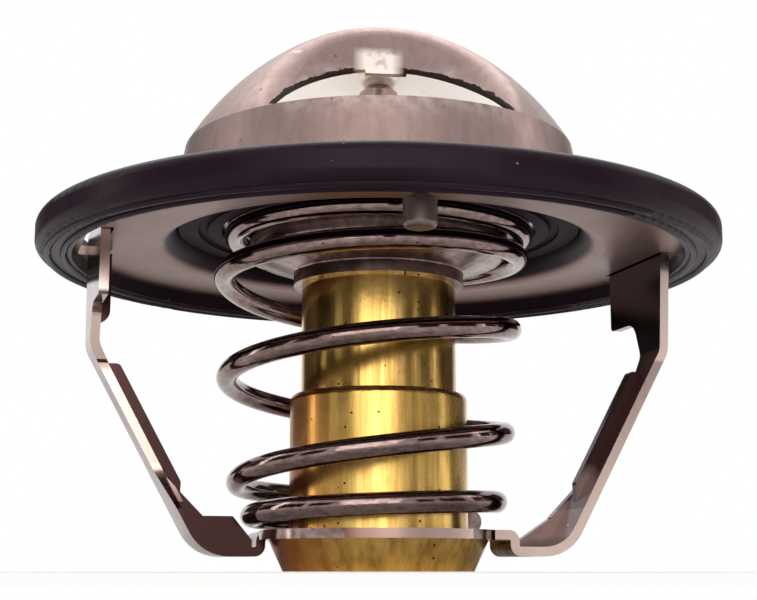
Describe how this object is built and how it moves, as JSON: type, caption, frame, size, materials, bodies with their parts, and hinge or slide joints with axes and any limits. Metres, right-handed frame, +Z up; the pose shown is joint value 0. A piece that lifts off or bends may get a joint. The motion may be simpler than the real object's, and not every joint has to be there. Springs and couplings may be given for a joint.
{
  "type": "engine coolant thermostat",
  "caption": "Wax-pellet coolant valve: domed steel housing with a rubber ring on its flange, a strap frame below, a sprung valve dish on a brass pellet and a rattling bleed pin.",
  "frame": {"origin": "on the valve's axis, at the underside of the brass bush's conical foot, which the part stands on", "axes": "+Z up along the valve's axis, from the bush to the dome of the housing; -Y towards the side with the bleed pin; +X to the right of that side"},
  "size_m": [0.067, 0.067, 0.0537],
  "materials": {
    "housing": "pressed steel, satin, slightly pinkish",
    "flange_gasket": "moulded black rubber, slight sheen",
    "spring_frame": "stamped steel, dark polished",
    "guide_bush": "turned brass, worn",
    "piston": "ground and polished steel",
    "wax_cup": "drawn brass, vertical scratches",
    "piston_guide": "turned brass",
    "boot_washer": "white fluoroplastic",
    "rubber_boot": "moulded black rubber",
    "wax_charge": "copper-filled wax",
    "valve_dish": "drawn steel, polished",
    "valve_seal": "moulded black rubber",
    "main_spring": "drawn spring wire, polished",
    "bleed_pin": "plain light metal",
    "bleed_weight": "plain light metal"
  },
  "bodies": {
    "housing_group": {"housing": "housing", "flange_gasket": "flange_gasket", "spring_frame": "spring_frame", "guide_bush": "guide_bush", "piston": "piston", "main_spring": "main_spring"},
    "valve": {"valve_dish": "valve_dish", "valve_seal": "valve_seal", "wax_cup": "wax_cup", "piston_guide": "piston_guide", "boot_washer": "boot_washer", "rubber_boot": "rubber_boot", "wax_charge": "wax_charge"},
    "bleed_valve": {"bleed_pin": "bleed_pin", "bleed_weight": "bleed_weight"}
  },
  "joints": [
    {"name": "valve_slide", "type": "slide", "parent": "housing_group", "child": "valve", "axis": [0, 0, -1], "range_m": [0, 0.008], "stiffness_N_per_m": 3000, "springref_m": -0.012, "deforming": ["main_spring"]},
    {"name": "bleed_slide", "type": "slide", "parent": "housing_group", "child": "bleed_valve", "axis": [0, 0, 1], "range_m": [0, 0.0008]}
  ]
}
